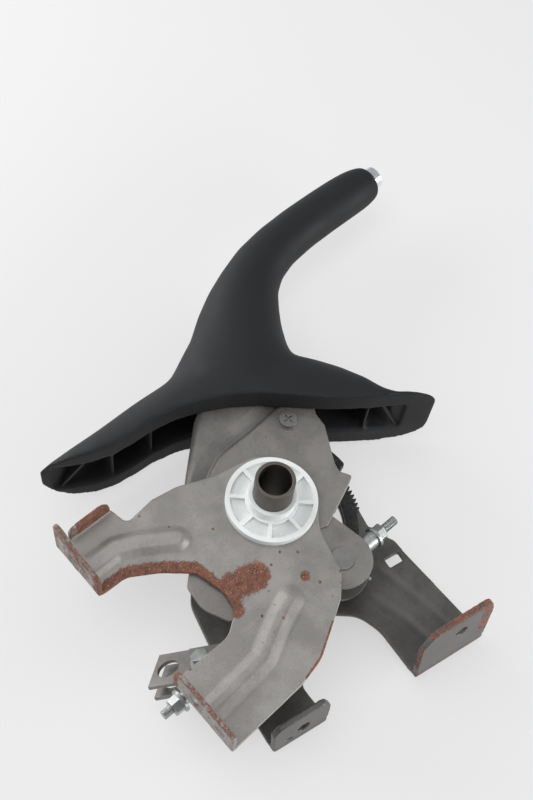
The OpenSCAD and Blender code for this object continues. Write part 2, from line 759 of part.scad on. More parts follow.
pawl_wall = 2.2;
tail_r = 5.2;
ring_room = 1.2;
pawl_outline = concat(
    [for (a = [-10:20:110]) pawl_at + polar(pawl_pin_d / 2 + pawl_wall, a)],
    [for (a = [60:20:260]) tail_at + polar(tail_r, a)],
    [[50, 27], [57.5, 15], [63.5, 6], [64.6, 4], [64.6, -0.6], [65.4, -1.6], [68, -1.8], [69, -0.6],
        [69.2, 5], [68.4, 15], [66.4, 24]]);
nose_outline = [
    [69, 5, 1], [68.4, -1.4, 0.6], nose_foot(-0.8), nose_foot(2.6), [66.5, 6.5, 1]];
function nose_foot(y) = [sqrt(pow(tooth_r + pawl_gap, 2) - y * y), y, 0];
module pawl() {
    color([0.3, 0.3, 0.3]) difference() {
        union() {
            sheet(-pawl_bot, pawl_plate, pawl_outline);
            sheet(-pawl_low, pawl_low - pawl_bot + eps, soft(nose_outline));
        }
        pin(pawl_at, pawl_pin_d / 2 + bush_gap, -pawl_bot - 1, 1 - pawl_top);
        pin(pawl_at, pawl_pin_d / 2 + ring_room, -pawl_bot - 1, -pawl_bot + pin_inset + pin_ring_t + 0.3);
        pin(tail_at, tail_pin_r, -pawl_bot - 1, 1 - pawl_top);
    }
}
module pawl_tail_pin() {
    color([0.6, 0.6, 0.6]) pin(tail_at, tail_pin_r, -pawl_bot, 2 * eye_half);
}

trunnion_past = 0.6;
rod_gap = 0.1;
module trunnion() {
    color([0.68, 0.68, 0.68]) difference() {
        pin(trunnion_at, trunnion_r, -cheek_half - trunnion_past, cheek_half + trunnion_past);
        along_x(-trunnion_d, 2 * trunnion_d, rod_r + rod_gap, rod_y);
    }
}

clip_r = 1.1;
clip_z = 7;
clip_tail = 12.2;
module trunnion_clip() {
    ring_r = trunnion_r + clip_r + bush_gap;
    tail_a = -74;
    color([0.78, 0.8, 0.78]) {
        translate([trunnion_at[0], trunnion_at[1], clip_z])
            rotate_extrude() translate([ring_r, 0]) circle(clip_r, $fn = 24);
        translate([trunnion_at[0], trunnion_at[1], clip_z]) rotate([0, 0, tail_a])
            translate([ring_r, 0, 0]) rotate([0, 90, 0]) cylinder(r = clip_r, h = clip_tail);
    }
}

module tension_rod() {
    color([0.74, 0.77, 0.76]) along_x(-rod_rear, rod_front, rod_r, rod_y);
}

sleeve_r = 5.6;
module rod_sleeve() {
    color([0.7, 0.7, 0.68]) difference() {
        along_x(trunnion_at[0] + sleeve_r, front_nut_x, sleeve_r, rod_y);
        along_x(0, rod_front, rod_r + rod_gap, rod_y);
        pin(trunnion_at, trunnion_r + bush_gap, -cheek_half, cheek_half);
    }
}

module adjuster_nut() color([0.76, 0.79, 0.78]) flange_nut(front_nut_x, 1);
module end_nut() color([0.76, 0.79, 0.78]) flange_nut(end_nut_x, -1);

block_outline = [
    [block_x[0], -6], [block_x[1], -6], [block_x[1], 12], [block_x[0] + 6, 12], [block_x[0], 6]];
module yoke_block() {
    color([0.5, 0.5, 0.48]) difference() {
        rolled() sheet(-block_half, 2 * block_half, block_outline);
        along_x(block_x[0] - 1, block_x[1] + 1, rod_r, rod_y);
        rolled() pin(bolt_at, bolt_r + bush_gap, -block_half - 1, block_half + 1);
    }
}

spacer_r = 4.2;
module yoke_spacer() {
    color([0.72, 0.74, 0.73]) difference() {
        along_x(end_nut_x, block_x[0], spacer_r, rod_y);
        along_x(end_nut_x - 1, block_x[0] + 1, rod_r, rod_y);
    }
}

// Strap with a raised tab at the bolt and a joggle before the cable hole
strap_gap = 0.3;
strap_back = 10;
tab_less = 1;
module strap_shape() {
    half = strap_w / 2;
    z = block_half + strap_gap;
    difference() {
        union() {
            translate([-strap_back, -half + tab_less, z])
                cube([strap_back + tab_len, strap_w - 2 * tab_less, strap_t]);
            translate([tab_len - strap_t, -half, z - strap_step])
                cube([hole_dist + strap_end - tab_len + strap_t, strap_w, strap_t]);
            translate([tab_len - strap_t, -half + tab_less, z - strap_step])
                cube([strap_t, strap_w - 2 * tab_less, strap_t + strap_step]);
        }
        translate([hole_dist, 0, 0]) cylinder(d = cable_hole, h = cut_h);
        cylinder(r = bolt_r, h = cut_h);
    }
}
module strap_place() {
    rolled() translate([bolt_at[0], bolt_at[1], 0]) rotate([0, 0, hole_dir]) children();
}
module near_strap() color([0.5, 0.49, 0.46]) strap_place() strap_shape();
module far_strap() color([0.46, 0.45, 0.43]) strap_place() mirror([0, 0, 1]) strap_shape();

strap_face = block_half + strap_gap + strap_t;
bolt_head_t = 5;
bolt_end = 6.5;
bolt_flange_r = 7;
bolt_flange_t = 1.4;
hex_d = nut_af / cos(30);
module yoke_bolt() {
    color([0.76, 0.79, 0.78]) strap_place() {
        pin([0, 0], bolt_r, -strap_face - bolt_end, strap_face + eps);
        translate([0, 0, strap_face]) cylinder(r = bolt_flange_r, h = bolt_flange_t);
        translate([0, 0, strap_face]) cylinder(d = hex_d, h = bolt_head_t, $fn = 6);
    }
}
module yoke_nut() {
    color([0.74, 0.77, 0.76]) strap_place() difference() {
        translate([0, 0, -strap_face - bolt_head_t]) cylinder(d = hex_d, h = bolt_head_t, $fn = 6);
        pin([0, 0], bolt_r, -strap_face - bolt_end, 0);
    }
}

near_bracket();
far_bracket();
ratchet_sector();
sector_rivet_upper();
sector_rivet_lower();
bracket_tie();
near_bush();
far_bush();
near_cheek();
far_cheek();
near_arm();
far_arm();
pivot_tube();
handle_tube();
stem_tube();
grip();
cheek_screw();
cheek_sleeve();
pawl_pin();
button_ferrule();
spring_seat();
release_button();
push_rod();
release_wire();
wire_tail();
return_spring();
pawl();
pawl_tail_pin();
trunnion();
trunnion_clip();
tension_rod();
rod_sleeve();
adjuster_nut();
yoke_block();
yoke_spacer();
end_nut();
near_strap();
far_strap();
yoke_bolt();
yoke_nut();
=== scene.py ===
"""Looks of a parking brake lever: stamped sheets, a moulded grip, plated fasteners and wear."""

import json
import math
import bpy
from mathutils import Matrix, Vector


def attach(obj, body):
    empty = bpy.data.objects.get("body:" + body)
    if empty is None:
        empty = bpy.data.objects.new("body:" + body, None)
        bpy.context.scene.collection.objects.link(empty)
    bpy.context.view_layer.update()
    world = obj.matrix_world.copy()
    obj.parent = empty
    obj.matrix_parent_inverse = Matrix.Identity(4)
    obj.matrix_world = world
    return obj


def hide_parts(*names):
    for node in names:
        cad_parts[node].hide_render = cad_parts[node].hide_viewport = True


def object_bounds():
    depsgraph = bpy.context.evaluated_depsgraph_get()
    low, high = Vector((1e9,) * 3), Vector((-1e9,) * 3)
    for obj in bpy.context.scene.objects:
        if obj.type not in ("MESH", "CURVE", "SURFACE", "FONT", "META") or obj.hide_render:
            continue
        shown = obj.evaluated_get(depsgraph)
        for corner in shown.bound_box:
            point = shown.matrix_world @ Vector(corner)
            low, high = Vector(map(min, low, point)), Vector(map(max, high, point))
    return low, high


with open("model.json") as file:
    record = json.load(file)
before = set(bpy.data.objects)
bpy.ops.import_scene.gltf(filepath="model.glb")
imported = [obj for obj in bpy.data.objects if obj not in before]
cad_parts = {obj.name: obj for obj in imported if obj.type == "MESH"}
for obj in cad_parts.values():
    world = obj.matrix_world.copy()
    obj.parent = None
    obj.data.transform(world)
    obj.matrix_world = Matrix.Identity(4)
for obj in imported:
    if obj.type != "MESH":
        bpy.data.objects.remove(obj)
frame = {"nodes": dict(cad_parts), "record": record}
cad_box = [list(corner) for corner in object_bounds()]
record = frame["record"]
body_of = {n: body for body, members in record["behaviour"]["bodies"].items() for n in members}
slot_of = {s["node"]: s["material_slot"] for s in record["subparts"]}

MM = 0.001


# Shapes: sizes and places in mm, in the frame of the part


# Near bracket: the two faces of its sheet, the limit of its flat plate, the outer face of its
# rear feet, their spans along y, and the bends of the feet and of the side lip
SHEET_LOW = 15
SHEET_HIGH = 18
PLATE_TOP = 18.6
REAR_FACE = -119
REAR_FEET = [(20, 62), (-99, -47.5)]
OUTER_BEND = 4.5
INNER_BEND = 2
LIP_FOLD = [(-110, 62, SHEET_LOW), (-83.5, 62, SHEET_LOW)]
LIP_BEND = 4
NEAR_BRACKET_VOXEL = 0.75

# Pressed beads of the near bracket: middle line, half width of the top, half width of the foot
UPPER_BEAD = [(-112, 37), (-93, 37), (-80, 31), (-70, 24.5), (-61, 18.5)]
LOWER_BEAD = [(-112, -74.5), (-93.5, -73), (-70.2, -71), (-48.4, -60), (-33.7, -54.5)]
BEADS = [(UPPER_BEAD, 4.2, 8.6), (LOWER_BEAD, 1.8, 8.8)]
BEAD_HEIGHT = 3.6

# Raised ring round the hole of the upper rear foot: its middle in y and z, radii, slope and height
RING_AT = (41, 31)
RING_IN = 6.2
RING_OUT = 9.6
RING_SLOPE = 0.8
RING_HEIGHT = 0.8

# Far bracket: the limit of its flat plate, and the two ends of the folds of its lower feet
FAR_PLATE_TOP = -22
FRONT_FOLD = [(5.5, -133.6, -26), (57.5, -142.8, -26)]
MIDDLE_FOLD = [(-92, -109.7, -26), (-54, -116.4, -26)]
FOLD_REACH = 5
FAR_BRACKET_VOXEL = 0.8

# Creases down the front part of the far bracket
CREASES = [[(18, -66), (27.2, -102.4), (29.5, -134)], [(38, -66), (43, -100), (46, -136)]]
CREASE_HALF = 5
CREASE_DEPTH = 0.7

# Near cheek: the fold of its rear wall, and the groove pressed across it, with its deepest line,
# the widths of its long and short flanks, its depth and the height below which it fades out
CHEEK_FOLD = [(2, 76.5, 14), (-36, 42, 14)]
CHEEK_BEND = 4
CHEEK_VOXEL = 0.7
GROOVE = [(90, 52), (47.5, 50.2), (22.9, 48.3), (3.8, 48), (-3.9, 46.9), (-10.5, 44.1), (-46, 24)]
GROOVE_WIDTH = 9.5
GROOVE_EDGE = 1.6
GROOVE_DEPTH = 2.8
GROOVE_FADE = 9

# Grip: the rim line of its skirt, the strip beside it that stays crisp and where that strip ends,
# the end of the handle in x, and the corner where the rear of the stem runs into the skirt
RIM = [
    (-95.5, 111), (-80, 100), (-54, 89), (-24, 86.5), (8, 77.5),
    (40, 57.5), (70, 30), (97, 9), (117, -3.8), (135, -15.7),
]
RIM_CRISP = 3
RIM_FADE = 6
HANDLE_END = 243
HANDLE_FADE = 10
REAR_CORNER = (6, 114)
REAR_FILLET = 30
GRIP_VOXEL = 1.2

# Gussets across the ends of the grip's slot: the rim point at the near wall and at the far wall,
# half the slot's width, their wall, and how deep their top and bottom edges lie
GUSSETS = {
    "rear_gusset": ((-71, 95.2), (-85.5, 103.8)),
    "front_gusset": ((104.5, 4.1), (116.5, -3.5)),
}
GUSSET_HALF = 15
GUSSET_THICK = 1.8
GUSSET_DEPTHS = (1.6, 8)

# Tension rod and its thread, with the cuts along it that make its rings
ROD_START = -132
ROD_END = 59.5
ROD_Y = -55
ROD_RADIUS = 3
ROD_SIDES = 28
ROD_CUTS = (100, 14)
THREAD_PITCH = 1.0
THREAD_DEPTH = 0.45

# Broken edges of the other pieces
EDGE_WIDTH = 0.3
EDGE_WIDTHS = {
    "near_bush": 0.6,
    "release_button": 1.2,
    "adjuster_nut": 0.7,
    "end_nut": 0.7,
    "yoke_nut": 0.7,
    "yoke_bolt": 0.7,
}


# Wear: places in mm


# Rust on the near bracket: lines with their half widths, then round spots with their radii
RUST_LINES = [
    ([(-116, 20.5), (-99, 20), (-82, 10.5), (-66, -3), (-61.5, -25), (-63, -38)], 5.5),
    ([(-62, -27), (-52, -27), (-40, -30)], 9),
    ([(-24, -82), (-44, -93), (-58, -96)], 1.4),
]
RUST_SPOTS = [
    ((-17, -49.3), 3.2), ((-18.1, -28.1), 0.9), ((-9.7, -35.2), 0.9), ((-12.6, -58), 1.1),
    ((-45.7, -61), 0.9), ((-53.6, -51.2), 1.2), ((-2.5, -67), 1.1), ((1.5, -61), 0.8),
    ((-39.5, 9.6), 0.8), ((-59.2, 27.9), 0.9),
]

# Rusted side lip: beyond this y, above this z, and the x past which it is worse
LIP_RUST_Y = 57.5
LIP_RUST_Z = 19
LIP_RUST_X = -104

# Rusted rear feet: behind this x, along the fold and free edge in z, and on the facing ends in y
FOOT_RUST_X = -114.5
FOOT_FOLD_Z = 19
FOOT_EDGE_Z = 39.5
FOOT_ENDS_Y = (-52, 24)
RING_STAIN = 3

# Rusted front foot of the far bracket: its upright above this z, its top edge and its two sides
UPRIGHT_Z = -14
UPRIGHT_TOP = 20.5
UPRIGHT_SIDES = (7.5, 50.5)
FOLD_RUST = 7

# Pieces whose finish differs from the rest of their slot
WORN = {"trunnion": "pin_steel", "cheek_screw": "pin_steel"}


# Colours


RUST_DARK = (0.09, 0.034, 0.021, 1)
RUST_LIGHT = (0.2, 0.072, 0.041, 1)
RUST_GRAIN = (0.5, 0.34, 0.26, 1)
SPECK = (0.05, 0.03, 0.022, 1)
SCRATCH_GAIN = 1.5
GRIP_DARK = (0.0105, 0.0109, 0.0119, 1)
GRIP_LIGHT = (0.014, 0.0145, 0.0157, 1)
GRIP_DUST = (0.09, 0.09, 0.09, 1)
NYLON_DARK = (0.68, 0.7, 0.695, 1)
NYLON_LIGHT = (0.75, 0.765, 0.75, 1)
NYLON_STAIN = (0.62, 0.58, 0.5, 1)
GREASE = (0.012, 0.012, 0.013, 1)
SCUFF = (0.075, 0.072, 0.07, 1)


# Stage: floor, lights and camera, in metres and watts


FLOOR_SIZE = 8
FLOOR_GAP = 0.2 * MM
FLOOR_COLOUR = (0.78, 0.775, 0.775, 1)
FLOOR_GLOW = (0.82, 0.815, 0.815, 1)
GLOW_SHARE = 0.66
SKY_COLOUR = (0.95, 0.97, 1.0, 1)
SKY_STRENGTH = 0.45

# Softboxes: place, target, size and power
SOFTBOXES = {
    "overhead": ((-0.25, 0.35, 1.3), (0.05, 0, 0), (1.3, 1.1), 8),
    "front": ((0.6, -1.05, 0.32), (0, -0.05, 0), (1.2, 0.5), 15),
    "rear": ((-0.4, 1.1, 0.32), (-0.05, 0, 0), (1.3, 0.5), 15),
}

# Camera at the photograph's angle, with its lens and sensor in mm
CAMERA_AT = (-0.2432, -0.1866, 0.6686)
CAMERA_RIGHT = Vector((0.74069, -0.66692, 0.08120))
CAMERA_UP = Vector((0.55027, 0.67155, 0.49621))
CAMERA_LENS = 51.75
CAMERA_SENSOR = 36
CAMERA_CLIP = (0.01, 50)


# Lines and blends


def distance_to_line(point, line):
    """Distance from a point to a run of straight stretches."""
    best = 1e9
    for a, b in zip(line, line[1:]):
        a, b = Vector(a), Vector(b)
        span = b - a
        share = max(0, min(1, (point - a).dot(span) / span.length_squared))
        best = min(best, (point - a - span * share).length)
    return best


def height_on(line, x):
    """Height of a line, whose points run towards smaller x, at one x."""
    for (x0, y0), (x1, y1) in zip(line, line[1:]):
        if x1 <= x <= x0:
            return y0 + (y1 - y0) * (x - x0) / (x1 - x0)
    return line[0][1] if x > line[0][0] else 1e9


def ease(value):
    value = max(0, min(1, value))
    return value * value * (3 - 2 * value)


# Selection and editing


def deselect():
    if bpy.context.object and bpy.context.object.mode != "OBJECT":
        bpy.ops.object.mode_set(mode="OBJECT")
    bpy.ops.object.select_all(action="DESELECT")


def make_active(piece):
    deselect()
    piece.select_set(True)
    bpy.context.view_layer.objects.active = piece


def apply(piece, kind, **settings):
    make_active(piece)
    modifier = piece.modifiers.new(kind.title(), kind)
    for key, value in settings.items():
        setattr(modifier, key, value)
    bpy.ops.object.modifier_apply(modifier=modifier.name)


def copy_of(node):
    """A merged copy of a node's mesh, as a new piece to be reshaped."""
    piece = bpy.data.objects.new(node + "_finished", frame["nodes"][node].data.copy())
    bpy.context.scene.collection.objects.link(piece)
    piece.data.materials.clear()
    make_active(piece)
    bpy.ops.object.mode_set(mode="EDIT")
    bpy.ops.mesh.select_all(action="SELECT")
    bpy.ops.mesh.customdata_custom_splitnormals_clear()
    bpy.ops.mesh.remove_doubles(threshold=0.004 * MM)
    bpy.ops.mesh.dissolve_limited(angle_limit=math.radians(0.5))
    bpy.ops.object.mode_set(mode="OBJECT")
    return piece


def round_bend(piece, start, end, radius, reach=0.4):
    """Rounds the edges within reach of one straight line, all given in mm."""
    make_active(piece)
    bpy.ops.object.mode_set(mode="EDIT")
    bpy.ops.mesh.select_all(action="DESELECT")
    bpy.ops.object.mode_set(mode="OBJECT")
    line = [Vector(start) * MM, Vector(end) * MM]
    near = [distance_to_line(v.co, line) < reach * MM for v in piece.data.vertices]
    for edge in piece.data.edges:
        edge.select = all(near[i] for i in edge.vertices)
    bpy.ops.object.mode_set(mode="EDIT")
    bpy.ops.mesh.select_mode(type="EDGE")
    bpy.ops.mesh.bevel(offset=radius * MM, segments=6, affect="EDGES", clamp_overlap=False)
    bpy.ops.object.mode_set(mode="OBJECT")


def refined(piece, voxel):
    """An even fine mesh on the same surface, for pressing and painting."""
    guide = bpy.data.objects.new("guide", piece.data.copy())
    bpy.context.scene.collection.objects.link(guide)
    apply(piece, "REMESH", mode="VOXEL", voxel_size=voxel * MM)
    apply(piece, "SHRINKWRAP", target=guide, wrap_method="NEAREST_SURFACEPOINT")
    apply(piece, "SMOOTH", factor=0.5, iterations=2)
    bpy.data.objects.remove(guide)


def soften(piece, iterations, weight_at):
    """Smooths a piece where the weight, worked out from a point in mm, is above nothing."""
    group = piece.vertex_groups.new(name="soft")
    for vertex in piece.data.vertices:
        weight = weight_at(vertex.co / MM)
        if weight > 0.01:
            group.add([vertex.index], weight, "REPLACE")
    apply(piece, "SMOOTH", factor=0.5, iterations=iterations, vertex_group="soft")
    piece.vertex_groups.clear()


def smooth_shade(piece, angle):
    make_active(piece)
    bpy.ops.object.shade_smooth_by_angle(angle=math.radians(angle))


def settle(piece, node, material):
    """Gives a finished piece its material and puts it in place of its node."""
    piece.data.materials.clear()
    piece.data.materials.append(material)
    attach(piece, body_of[node])
    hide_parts(node)


# Shader building


def feed(tree, socket, value):
    """Links a socket to another node's socket, or sets it to a constant."""
    if isinstance(value, bpy.types.NodeSocket):
        tree.links.new(value, socket)
    else:
        socket.default_value = value


def put(tree, kind, inputs=None, **settings):
    """Adds a shader node. Inputs are constants or the sockets of other nodes."""
    node = tree.nodes.new(kind)
    for key, value in settings.items():
        setattr(node, key, value)
    for key, value in (inputs or {}).items():
        feed(tree, node.inputs[key], value)
    return node


def noise_at(tree, vector, scale, detail=3, rough=0.55):
    inputs = {"Vector": vector, "Scale": scale, "Detail": detail, "Roughness": rough}
    return put(tree, "ShaderNodeTexNoise", inputs).outputs["Fac"]


def cells_at(tree, vector, scale):
    inputs = {"Vector": vector, "Scale": scale}
    return put(tree, "ShaderNodeTexVoronoi", inputs).outputs["Distance"]


def between(tree, value, low, high, to_low=0.0, to_high=1.0, smooth=True):
    kind = "SMOOTHSTEP" if smooth else "LINEAR"
    inputs = {0: value, 1: low, 2: high, 3: to_low, 4: to_high}
    return put(tree, "ShaderNodeMapRange", inputs, interpolation_type=kind).outputs[0]


def math_of(tree, operation, first, second):
    return put(tree, "ShaderNodeMath", {0: first, 1: second}, operation=operation).outputs[0]


def scaled(tree, value, factor):
    return math_of(tree, "MULTIPLY", value, factor)


def mix_colour(tree, factor, first, second):
    inputs = {0: factor, 6: first, 7: second}
    return put(tree, "ShaderNodeMix", inputs, data_type="RGBA").outputs[2]


def bump(tree, height, distance, strength=1.0):
    inputs = {"Height": height, "Distance": distance * MM, "Strength": strength}
    return put(tree, "ShaderNodeBump", inputs).outputs[0]


def new_group(name, inputs, outputs):
    tree = bpy.data.node_groups.new(name, "ShaderNodeTree")
    for label, kind in inputs:
        tree.interface.new_socket(label, in_out="INPUT", socket_type=kind)
    for label, kind in outputs:
        tree.interface.new_socket(label, in_out="OUTPUT", socket_type=kind)
    return tree, put(tree, "NodeGroupInput").outputs, put(tree, "NodeGroupOutput").inputs


def placed(tree, group, **inputs):
    return put(tree, "ShaderNodeGroup", inputs, node_tree=group).outputs


def new_material(name):
    material = bpy.data.materials.new(name)
    material.use_nodes = True
    tree = material.node_tree
    tree.nodes.clear()
    surface = put(tree, "ShaderNodeBsdfPrincipled")
    output = put(tree, "ShaderNodeOutputMaterial")
    tree.links.new(surface.outputs[0], output.inputs[0])
    place = put(tree, "ShaderNodeTexCoord").outputs["Object"]
    return material, tree, surface, place


def fill(tree, surface, **sockets):
    """Sets or links the surface's sockets, named with underscores for spaces."""
    for key, value in sockets.items():
        feed(tree, surface.inputs[key.replace("_", " ")], value)


# Shared effects


def rust_group():
    """Granular rust that eats in from a painted mask."""
    tree, given, result = new_group(
        "Rust",
        [("Vector", "NodeSocketVector"), ("Spread", "NodeSocketFloat")],
        [
            ("Color", "NodeSocketColor"),
            ("Amount", "NodeSocketFloat"),
            ("Height", "NodeSocketFloat"),
        ],
    )
    vector = given["Vector"]
    coarse = noise_at(tree, vector, 260, 5, 0.7)
    fine = noise_at(tree, vector, 1300, 3, 0.7)
    rough_edge = math_of(tree, "ADD", scaled(tree, coarse, 0.9), scaled(tree, fine, 0.7))
    reach = math_of(tree, "ADD", given["Spread"], math_of(tree, "SUBTRACT", rough_edge, 0.8))
    amount = between(tree, reach, 0.42, 0.56)
    shade = mix_colour(tree, between(tree, coarse, 0.35, 0.68), RUST_DARK, RUST_LIGHT)
    shade = mix_colour(tree, between(tree, fine, 0.56, 0.7, 0, 0.8), shade, RUST_GRAIN)
    tree.links.new(shade, result["Color"])
    tree.links.new(amount, result["Amount"])
    tree.links.new(math_of(tree, "MULTIPLY", amount, fine), result["Height"])
    return tree


def mottle_group():
    """Cloudy tone, dark specks and fine drawn scratches of sheet steel."""
    tree, given, result = new_group(
        "Sheet mottle",
        [("Vector", "NodeSocketVector")],
        [
            ("Tone", "NodeSocketFloat"),
            ("Speck", "NodeSocketFloat"),
            ("Scratch", "NodeSocketFloat"),
        ],
    )
    vector = given["Vector"]
    cloud = noise_at(tree, vector, 38, 4, 0.6)
    grain = noise_at(tree, vector, 900, 2, 0.5)
    tone = math_of(tree, "ADD", scaled(tree, cloud, 0.75), scaled(tree, grain, 0.25))
    here = between(tree, noise_at(tree, vector, 70, 2), 0.5, 0.62)
    dots = between(tree, cells_at(tree, vector, 110), 0.13, 0.07)
    stretch = {"Vector": vector, "Rotation": (0.2, 0.1, 0.6), "Scale": (25, 900, 300)}
    drawn = put(tree, "ShaderNodeMapping", stretch).outputs[0]
    scratch = between(tree, noise_at(tree, drawn, 1, 2), 0.62, 0.72)
    tree.links.new(tone, result["Tone"])
    tree.links.new(math_of(tree, "MULTIPLY", dots, here), result["Speck"])
    tree.links.new(scratch, result["Scratch"])
    return tree


RUST = rust_group()
MOTTLE = mottle_group()


# Materials


def sheet_steel(name, dark, light, metallic, rough, rust_painted=False):
    """Coated sheet steel with mottled tone, specks, scratches and rust, painted on or at edges."""
    material, tree, surface, place = new_material(name)
    mottle = placed(tree, MOTTLE, Vector=place)
    scratched = (*[c * SCRATCH_GAIN for c in light], 1)
    base = mix_colour(tree, between(tree, mottle["Tone"], 0.36, 0.64), (*dark, 1), (*light, 1))
    base = mix_colour(tree, scaled(tree, mottle["Scratch"], 0.08), base, scratched)
    base = mix_colour(tree, scaled(tree, mottle["Speck"], 0.8), base, SPECK)
    if rust_painted:
        spread = put(tree, "ShaderNodeAttribute", attribute_name="rust").outputs["Fac"]
    else:
        edge = put(tree, "ShaderNodeNewGeometry").outputs["Pointiness"]
        spread = between(tree, edge, 0.56, 0.66, 0, 0.35)
    rust = placed(tree, RUST, Vector=place, Spread=spread)
    clean = between(tree, mottle["Tone"], 0.3, 0.7, rough - 0.05, rough + 0.08)
    relief = math_of(tree, "ADD", rust["Height"], scaled(tree, mottle["Tone"], 0.25))
    fill(
        tree,
        surface,
        Base_Color=mix_colour(tree, rust["Amount"], base, rust["Color"]),
        Metallic=between(tree, rust["Amount"], 0, 1, metallic, 0, smooth=False),
        Roughness=math_of(tree, "ADD", clean, scaled(tree, rust["Amount"], 0.35)),
        Normal=bump(tree, relief, 0.22),
    )
    return material


def plated(name, dark, light, rough, film):
    """Bright plated or drawn steel with a cloudy film over it."""
    material, tree, surface, place = new_material(name)
    mottle = placed(tree, MOTTLE, Vector=place)
    bright = mix_colour(tree, between(tree, mottle["Tone"], 0.35, 0.65), (*dark, 1), (*light, 1))
    dull = between(tree, noise_at(tree, place, 260, 4), 0.35, 0.75, 0.25, 0.6)
    fill(
        tree,
        surface,
        Base_Color=mix_colour(tree, dull, bright, (*film, 1)),
        Metallic=between(tree, dull, 0, 1, 1, 0.55),
        Roughness=between(tree, mottle["Tone"], 0.3, 0.7, rough - 0.06, rough + 0.14),
        Normal=bump(tree, mottle["Tone"], 0.06),
    )
    return material


def grip_plastic():
    """Fine grained charcoal plastic, a little polished by hands."""
    material, tree, surface, place = new_material("grip plastic")
    cloud = noise_at(tree, place, 30, 3)
    dust = between(tree, noise_at(tree, place, 420, 5, 0.7), 0.66, 0.8, 0, 0.25)
    base = mix_colour(tree, cloud, GRIP_DARK, GRIP_LIGHT)
    fill(
        tree,
        surface,
        Base_Color=mix_colour(tree, dust, base, GRIP_DUST),
        Roughness=between(tree, cloud, 0.3, 0.7, 0.6, 0.72),
        Specular_IOR_Level=0.26,
        Normal=bump(tree, cells_at(tree, place, 1500), 0.05, 0.6),
    )
    return material


def nylon():
    """Natural nylon, milky and slightly stained."""
    material, tree, surface, place = new_material("nylon")
    cloud = noise_at(tree, place, 60, 3)
    stain = between(tree, noise_at(tree, place, 180, 4), 0.6, 0.8, 0, 0.25)
    base = mix_colour(tree, cloud, NYLON_DARK, NYLON_LIGHT)
    fill(
        tree,
        surface,
        Base_Color=mix_colour(tree, stain, base, NYLON_STAIN),
        Roughness=between(tree, cloud, 0.3, 0.7, 0.38, 0.5),
        Subsurface_Weight=0.25,
        Subsurface_Radius=(1.0, 1.0, 0.9),
        Subsurface_Scale=0.002,
        Normal=bump(tree, noise_at(tree, place, 700, 2), 0.03),
    )
    return material


def greasy_steel():
    """Hardened steel under dark grease with lighter scuffs."""
    material, tree, surface, place = new_material("greasy steel")
    lumps = noise_at(tree, place, 420, 5, 0.6)
    scuff = between(tree, noise_at(tree, place, 160, 4), 0.56, 0.7, 0, 0.8)
    fill(
        tree,
        surface,
        Base_Color=mix_colour(tree, scuff, GREASE, SCUFF),
        Metallic=between(tree, scuff, 0, 1, 0.1, 0.7),
        Roughness=between(tree, lumps, 0.35, 0.65, 0.3, 0.6),
        Normal=bump(tree, lumps, 0.5),
    )
    return material


FINISH = {
    "bracket_steel": sheet_steel(
        "bracket steel",
        dark=(0.2, 0.19, 0.178),
        light=(0.285, 0.272, 0.255),
        metallic=0.25,
        rough=0.42,
        rust_painted=True,
    ),
    # Far bracket sheet: much darker than the near bracket's steel. Its tone is matched to the far
    # plate where it lies in shade under the near parts, so much of that darkness is painted shade.
    "dark_steel": sheet_steel(
        "dark steel with painted shade",
        dark=(0.07, 0.067, 0.063),
        light=(0.115, 0.11, 0.104),
        metallic=0.3,
        rough=0.42,
        rust_painted=True,
    ),
    "lever_steel": sheet_steel(
        "lever steel",
        dark=(0.15, 0.141, 0.132),
        light=(0.22, 0.209, 0.196),
        metallic=0.3,
        rough=0.4,
    ),
    "tube_steel": plated(
        "tube steel",
        dark=(0.11, 0.102, 0.092),
        light=(0.18, 0.169, 0.155),
        rough=0.42,
        film=(0.085, 0.068, 0.055),
    ),
    "zinc": plated(
        "zinc plate",
        dark=(0.34, 0.36, 0.352),
        light=(0.5, 0.525, 0.515),
        rough=0.36,
        film=(0.3, 0.315, 0.308),
    ),
    "pin_steel": plated(
        "pin steel",
        dark=(0.19, 0.19, 0.185),
        light=(0.29, 0.29, 0.282),
        rough=0.4,
        film=(0.17, 0.17, 0.162),
    ),
    "chrome": plated(
        "chrome",
        dark=(0.74, 0.75, 0.76),
        light=(0.84, 0.85, 0.86),
        rough=0.14,
        film=(0.6, 0.6, 0.6),
    ),
    "spring_steel": plated(
        "oiled wire",
        dark=(0.3, 0.3, 0.3),
        light=(0.42, 0.42, 0.42),
        rough=0.35,
        film=(0.1, 0.09, 0.08),
    ),
    "grip_plastic": grip_plastic(),
    "nylon": nylon(),
    "sector_steel": greasy_steel(),
}


# Painted rust: a spread from 0 to 1, where rust breaks out at about a half


def paint_rust(piece, amount_at):
    """Stores how far rust has spread at each point of a piece; points are given in mm."""
    layer = piece.data.attributes.new("rust", "FLOAT", "POINT")
    layer.data.foreach_set("value", [amount_at(v.co / MM) for v in piece.data.vertices])


def near_bracket_rust(point):
    flat = point.xy
    amount = 0.0
    for line, half in RUST_LINES:
        amount = max(amount, 1.25 - 0.75 * distance_to_line(flat, line) / half)
    for centre, radius in RUST_SPOTS:
        amount = max(amount, 1.1 - 0.6 * (flat - Vector(centre)).length / radius)
    if point.z > LIP_RUST_Z and point.y > LIP_RUST_Y:
        amount = max(amount, 0.7 if point.x > LIP_RUST_X else 0.5)
    if point.x < FOOT_RUST_X:
        amount = max(min(amount, 0.5), rear_foot_rust(point))
    return min(1.0, max(0.0, amount))


def rear_foot_rust(point):
    """Rust of the two rear feet: along their folds and free edges and round the upper hole."""
    first_end, second_end = FOOT_ENDS_Y
    amount = 0.34 if point.y > 0 else 0.4
    if (point.yz - Vector(RING_AT)).length < RING_OUT + RING_STAIN:
        amount = 0.46
    if point.z < FOOT_FOLD_Z or point.z > FOOT_EDGE_Z:
        amount = 0.52
    if first_end < point.y < second_end:
        amount = 0.6
    return amount


